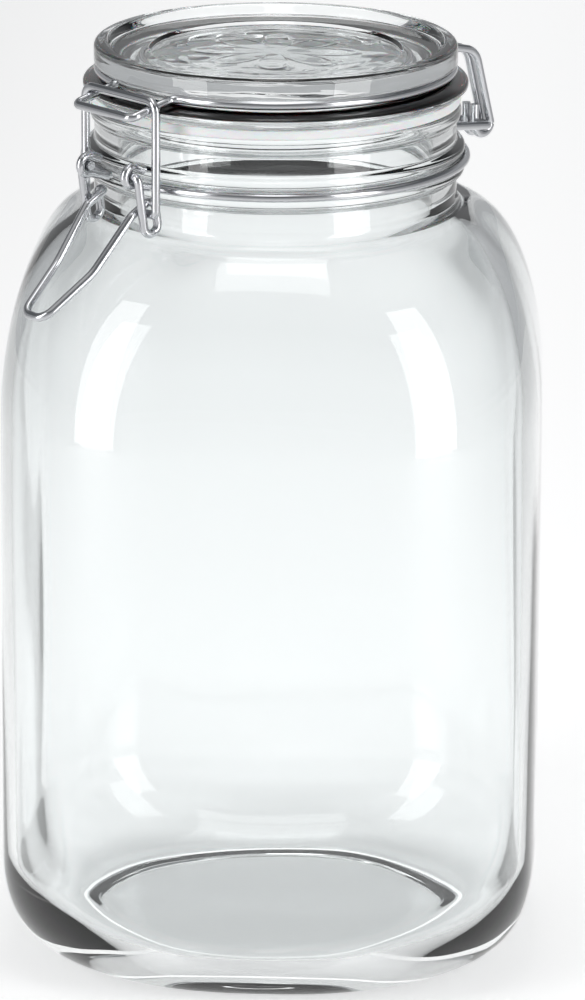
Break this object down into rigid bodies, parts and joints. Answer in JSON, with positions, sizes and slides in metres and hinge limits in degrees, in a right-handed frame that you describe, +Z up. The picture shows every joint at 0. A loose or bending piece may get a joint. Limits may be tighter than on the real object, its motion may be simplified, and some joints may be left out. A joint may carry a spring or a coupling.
{
  "type": "clip-top glass canister",
  "caption": "Square-bodied clear glass storage canister with a round hinged glass lid, a rubber sealing ring and a wire lever clip.",
  "frame": {"origin": "centre of the foot, on the surface the jar stands on", "axes": "+Z up along the jar; X and Y are normal to the flat sides of the body; the latch is over the -X -Y corner and the hinge over the +X +Y corner"},
  "size_m": [0.1492, 0.1492, 0.257],
  "materials": {
    "jar_glass": "clear pressed soda-lime glass, fire polished",
    "lid_glass": "clear pressed soda-lime glass",
    "gasket_rubber": "translucent white rubber, satin",
    "steel_wire": "bright drawn stainless wire"
  },
  "bodies": {
    "jar": {"jar_body": "jar_glass", "neck_ring": "steel_wire"},
    "cover": {"lid": "lid_glass", "gasket": "gasket_rubber", "lid_ring": "steel_wire"},
    "clip_lever": {"lever": "steel_wire"},
    "clip_bail": {"bail": "steel_wire"}
  },
  "joints": [
    {"name": "lid_hinge", "type": "hinge", "parent": "jar", "child": "cover", "pos_m": [0.05445, 0.05445, 0.222], "axis": [-0.7071, 0.7071, 0], "range_deg": [0, 190]},
    {"name": "lever_pivot", "type": "hinge", "parent": "jar", "child": "clip_lever", "pos_m": [-0.04264, -0.04264, 0.2295], "axis": [-0.7071, 0.7071, 0], "range_deg": [0, 100]},
    {"name": "bail_pivot", "type": "hinge", "parent": "clip_lever", "child": "clip_bail", "pos_m": [-0.03977, -0.03977, 0.2189], "axis": [-0.7071, 0.7071, 0], "range_deg": [-120, 0]}
  ],
  "couplings": [
    {"joint": "bail_pivot", "follows": "lever_pivot", "ratio": -1.2}
  ]
}
